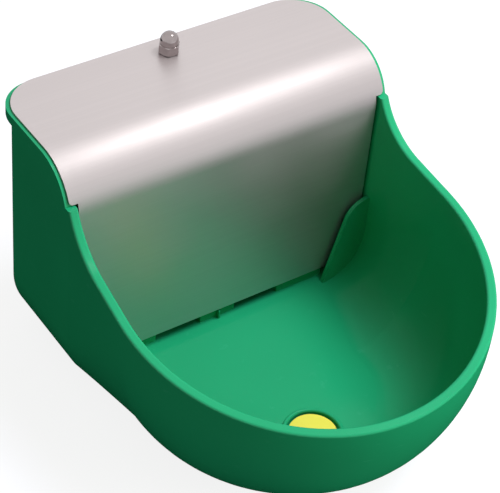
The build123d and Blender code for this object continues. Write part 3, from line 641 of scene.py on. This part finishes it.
@dataclass(frozen=True)
class ScrewRod:
    """A threaded rod that stands along Z, with a hexagon head below it if it has one.

    Foot, tip, crest, pitch and the head's height and width across flats are in metres.
    """

    centre: tuple[float, float]
    foot: float
    tip: float
    crest: float
    pitch: float
    head: float = 0.0
    head_across: float = 0.0

    def surface(self, columns: int = 36, rows_per_turn: int = 8) -> np.ndarray:
        """Work the whole surface out as radius over angle and height.

        The thread's radius is the crest less its depth times a triangle wave of the height over
        the pitch less the angle over one turn, and its depth is a share of the pitch. The radius
        is never more than the distance from the tip plus the crest less the point's depths, which
        points the end. In the head the radius is half the width across flats over the cosine of
        the angle from the nearest flat's middle.

        Args:
            columns: points round the rod.
            rows_per_turn: points up each turn of the thread.

        Returns:
            Points of rows by columns by 3, in metres.
        """
        depth = THREAD_DEPTH * self.pitch
        shank = np.linspace(self.foot + self.head, self.tip,
                            int((self.tip - self.foot - self.head) / self.pitch * rows_per_turn))
        angle = np.linspace(0.0, math.tau, columns, endpoint=False)[None, :]
        height = shank[:, None]
        wave = np.abs(2.0 * np.mod(height / self.pitch - angle / math.tau, 1.0) - 1.0)
        radius = self.crest - depth * wave
        radius = np.minimum(radius, self.tip - height + self.crest - POINT_DEPTHS * depth)
        if self.head:
            flat = self.head_across / 2 / np.cos(np.mod(angle, math.pi / 3) - math.pi / 6)
            radius = np.concatenate([flat, flat, radius])
            height = np.concatenate([[[self.foot], [self.foot + self.head]], height])
        return np.stack([self.centre[0] + radius * np.cos(angle),
                         self.centre[1] + radius * np.sin(angle),
                         np.broadcast_to(height, radius.shape)], axis=-1)


# ---------------------------------------------------------------- sub-assemblies


@dataclass
class Assembly:
    """A sub-assembly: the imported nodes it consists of, each with its finish."""

    nodes: dict[str, bpy.types.Object]
    finishes: dict[str, Finish] = field(default_factory=dict)

    def build(self) -> None:
        """Dress every node of the sub-assembly and report it."""
        for name, finish in self.finishes.items():
            dress(self.nodes[name], finish)
            LOG.info("%s: %s in %s", type(self).__name__, name, finish.name)

    def upright(self, name: str) -> tuple[tuple[float, float], float, float]:
        """Find where a node that stands along Z is.

        Args:
            name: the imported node.

        Returns:
            Its centre in X and Y, its foot and its top.
        """
        low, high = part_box(name)
        return ((low.x + high.x) / 2, (low.y + high.y) / 2), low.z, high.z

    def thread(self, name: str, rod: ScrewRod, body: str) -> None:
        """Put a threaded rod in the place of a plain node.

        Args:
            name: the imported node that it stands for.
            rod: its sizes.
            body: the body that it rides on.
        """
        piece = grid_piece(f"{name}_threaded", rod.surface())
        dress(piece, PLAIN_STEEL)
        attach(piece, body)
        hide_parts(name)
        LOG.info("%s: %s has its thread", type(self).__name__, name)


@dataclass
class BowlShell(Assembly):
    """The green moulding with its housing, basin, fins and wall bosses."""

    finishes: dict[str, Finish] = field(default_factory=lambda: {"bowl": GREEN})


@dataclass
class CoverSet(Assembly):
    """The bent cover with its stud, insert and dome nut."""

    finishes: dict[str, Finish] = field(default_factory=lambda: {
        "cover": COVER_STEEL, "dome_nut": NUT_STEEL, "stud_insert": BRASS})
    stud_crest: float = 4.0 * MILLI
    stud_pitch: float = 1.25 * MILLI

    def build(self) -> None:
        """Dress the nodes and cut the stud's thread."""
        super().build()
        rod = ScrewRod(*self.upright("cover_stud"), self.stud_crest, self.stud_pitch)
        self.thread("cover_stud", rod, "bowl_body")


@dataclass
class DrainFitting(Assembly):
    """The drain plug and its seal."""

    finishes: dict[str, Finish] = field(default_factory=lambda: {
        "drain_plug": YELLOW, "drain_seal": RUBBER})


@dataclass
class FloatValve(Assembly):
    """The valve in the right-hand wall, with its inlet and piston."""

    finishes: dict[str, Finish] = field(default_factory=lambda: {
        "valve_body": INLET_WHITE, "valve_seat": BRASS, "inlet_filter": VALVE_WHITE,
        "inlet_gasket": RUBBER, "inlet_washer": PLAIN_STEEL, "lock_nut": BRASS,
        "valve_piston": VALVE_WHITE, "piston_seal": RUBBER, "pivot_pin": PLAIN_STEEL,
        "pin_clip": PLAIN_STEEL})


@dataclass
class FloatUnit(Assembly):
    """The lever, the float and the parts that clamp them."""

    finishes: dict[str, Finish] = field(default_factory=lambda: {
        "float_arm": VALVE_WHITE, "float_shell": FLOAT_BLACK, "float_cap": FLOAT_BLACK,
        "float_nuts": PLAIN_STEEL, "float_wing_nut": PLAIN_STEEL})
    bolt_crest: float = 3.0 * MILLI
    bolt_pitch: float = 1.0 * MILLI
    bolt_head: float = 4.0 * MILLI
    bolt_across: float = 10.0 * MILLI

    def build(self) -> None:
        """Dress the nodes and cut the adjusting bolt's thread."""
        super().build()
        rod = ScrewRod(*self.upright("float_bolt"), self.bolt_crest, self.bolt_pitch,
                       self.bolt_head, self.bolt_across)
        self.thread("float_bolt", rod, "float_body")


# ---------------------------------------------------------------- studio


@dataclass(frozen=True)
class Lamp:
    """A square soft light: its direction, distance, edge, watts, if reflections show it, tint."""

    name: str
    towards: Point
    distance: float
    size: float
    power: float
    mirrored: bool
    tint: Colour = (1.0, 1.0, 1.0)


@dataclass
class Studio:
    """Camera, floor, a dark card of painted shade that only reflections see, backdrop and lights.

    The camera looks along a direction given by its turn about Z, its tilt below the horizon and
    its roll, in degrees, from a fixed place, with a focal length in pixels of the image.
    """

    place: Point = (-0.5390, -0.8185, 0.7753)
    turn: float = 37.8215
    tilt: float = 41.9592
    roll: float = 6.0113
    focal_pixels: float = 1810.14
    middle: Point = (0.0, -0.15, 0.0)
    ambient: float = 0.37
    floor_grey: Colour = (0.2, 0.2, 0.2)
    floor_glow: float = 0.85
    floor_half: float = 6.0
    clip_end: float = 50.0
    # painted shade: half edge and colour of the dark card that only reflections see
    shade_card_half: float = 0.6
    shade_card_grey: Colour = (0.01, 0.01, 0.01)
    lamps: tuple[Lamp, ...] = (
        Lamp("key", (0.43, -0.20, 0.88), 1.6, 0.8, 28.0, False, (0.95, 1.0, 1.35)),
        Lamp("front", (0.62, -0.74, 0.24), 1.8, 1.0, 19.0, False),
        Lamp("panel", (0.43, -0.05, 0.89), 1.7, 0.35, 4.0, True),
    )

    def axes(self) -> tuple[Vector, Vector, Vector]:
        """Work out the camera's own axes.

        Returns:
            The directions of the image's right, its top and the view.
        """
        turn, tilt, roll = (math.radians(a) for a in (self.turn, self.tilt, self.roll))
        forward = Vector((math.sin(turn) * math.cos(tilt), math.cos(turn) * math.cos(tilt),
                          -math.sin(tilt)))
        right = Vector((math.cos(turn), -math.sin(turn), 0.0))
        top = right.cross(forward)
        rolled_right = math.cos(roll) * right + math.sin(roll) * top
        rolled_top = -math.sin(roll) * right + math.cos(roll) * top
        return rolled_right, rolled_top, forward

    def camera(self) -> None:
        """Create the camera and make it the scene's own."""
        lens = bpy.data.cameras.new("camera")
        lens.sensor_width = SENSOR_WIDTH
        lens.lens = self.focal_pixels * SENSOR_WIDTH / IMAGE_WIDTH
        lens.clip_end = self.clip_end
        eye = bpy.data.objects.new("camera", lens)
        right, top, forward = self.axes()
        turned = Matrix((right, top, -forward)).transposed().to_4x4()
        eye.matrix_world = Matrix.Translation(self.place) @ turned
        bpy.context.scene.collection.objects.link(eye)
        bpy.context.scene.camera = eye

    def shine(self, lamp: Lamp) -> None:
        """Add one square soft light that faces the bowl.

        Args:
            lamp: its settings.
        """
        data = bpy.data.lights.new(lamp.name, "AREA")
        data.size = lamp.size
        data.energy = lamp.power
        data.color = lamp.tint
        light = bpy.data.objects.new(lamp.name, data)
        away = Vector(lamp.towards).normalized()
        light.visible_glossy = lamp.mirrored
        light.matrix_world = (Matrix.Translation(Vector(self.middle) + lamp.distance * away)
                              @ (-away).to_track_quat("-Z", "Y").to_matrix().to_4x4())
        bpy.context.scene.collection.objects.link(light)

    def seen(self, w: NodeWriter) -> bpy.types.NodeSocket:
        """Tell the rays that see a surface directly from those that carry its light.

        Args:
            w: writer for the material's or the world's tree.

        Returns:
            One for a ray from the camera, a reflection or through glass, else nought.
        """
        path = w.add("LightPath")
        camera, reflection, through = (path.outputs[kind.value] for kind in Sight)
        return w.maths("MAXIMUM", w.maths("MAXIMUM", camera, reflection), through)

    def sheet(self, name: str, half: float, height: float) -> bpy.types.Object:
        """Make a level square of the stage.

        Args:
            name: name of the new object.
            half: half of its edge.
            height: height that it lies at.

        Returns:
            The new object, which is no piece of the bowl.
        """
        mesh = bpy.data.meshes.new(name)
        corners = [(-half, -half, height), (half, -half, height), (half, half, height),
                   (-half, half, height)]
        mesh.from_pydata(corners, [], [(0, 1, 2, 3)])
        flat = bpy.data.objects.new(name, mesh)
        bpy.context.scene.collection.objects.link(flat)
        return flat

    def matt(self, sheet: bpy.types.Object,
             grey: Colour) -> tuple[NodeWriter, bpy.types.Node]:
        """Give a sheet of the stage a matt material that has its name.

        Args:
            sheet: the sheet.
            grey: its colour.

        Returns:
            A writer for the material's tree, and its shader.
        """
        material = bpy.data.materials.new(sheet.name)
        material.use_nodes = True
        shader = material.node_tree.nodes["Principled BSDF"]
        shader.inputs["Base Color"].default_value = (*grey, 1.0)
        shader.inputs["Roughness"].default_value = 1.0
        shader.inputs["Specular IOR Level"].default_value = 0.0
        sheet.data.materials.append(material)
        return NodeWriter(material.node_tree), shader

    def floor(self, height: float) -> None:
        """Lay a pale floor.

        The floor is a matt grey that takes the object's shadow, and rays that see it directly
        add an even glow that makes it white.

        Args:
            height: height of the floor.
        """
        sheet = self.sheet("floor", self.floor_half, height)
        w, shader = self.matt(sheet, self.floor_grey)
        shader.inputs["Emission Color"].default_value = (1.0, 1.0, 1.0, 1.0)
        w.join(w.maths("MULTIPLY", self.seen(w), self.floor_glow),
               shader.inputs["Emission Strength"])

    def lay_shade_card(self, height: float) -> None:
        """Lay a dark card of painted shade round the foot of the object, which only reflections
        show.

        The floor glows white to reflections even where the bowl shades it. The card paints that
        shade into the glossy walls and keeps the white floor out of them.

        Args:
            height: height of the card.
        """
        sheet = self.sheet("painted_shade_card", self.shade_card_half, height)
        # painted shade: the card is hidden from the camera, from light and from shadows, so only
        # reflections show it
        for kind in ("camera", "diffuse", "transmission", "shadow", "volume_scatter"):
            setattr(sheet, f"visible_{kind}", False)
        self.matt(sheet, self.shade_card_grey)

    def world(self) -> None:
        """White to rays that see it directly, a soft grey to the rest."""
        world = bpy.data.worlds.new("studio")
        world.use_nodes = True
        bpy.context.scene.world = world
        w = NodeWriter(world.node_tree)
        background = world.node_tree.nodes["Background"]
        w.join(w.remap(self.seen(w), (0.0, 1.0), (self.ambient, 1.0)),
               background.inputs["Strength"])
        background.inputs["Color"].default_value = (1.0, 1.0, 1.0, 1.0)

    def build(self, floor_height: float) -> None:
        """Set the whole studio up.

        Args:
            floor_height: height of the floor.
        """
        bpy.context.scene.view_settings.view_transform = "Standard"
        self.camera()
        self.floor(floor_height)
        # the dark card of painted shade under the bowl, which only reflections see
        self.lay_shade_card(floor_height + SHADE_CARD_LIFT)
        self.world()
        for lamp in self.lamps:
            self.shine(lamp)
        LOG.info("studio: camera, floor, card and %d lamps are in place", len(self.lamps))


def main() -> None:
    """Load the frame, build each sub-assembly in order and set up the studio."""
    logging.basicConfig(level=logging.INFO, format="%(name)s: %(message)s")
    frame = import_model()
    nodes = frame["nodes"]
    for kind in (BowlShell, CoverSet, DrainFitting, FloatValve, FloatUnit):
        kind(nodes).build()
    lowest = min(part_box(name)[0].z for name in nodes)
    Studio().build(lowest - FLOOR_GAP)


if __name__ == "__main__":
    main()
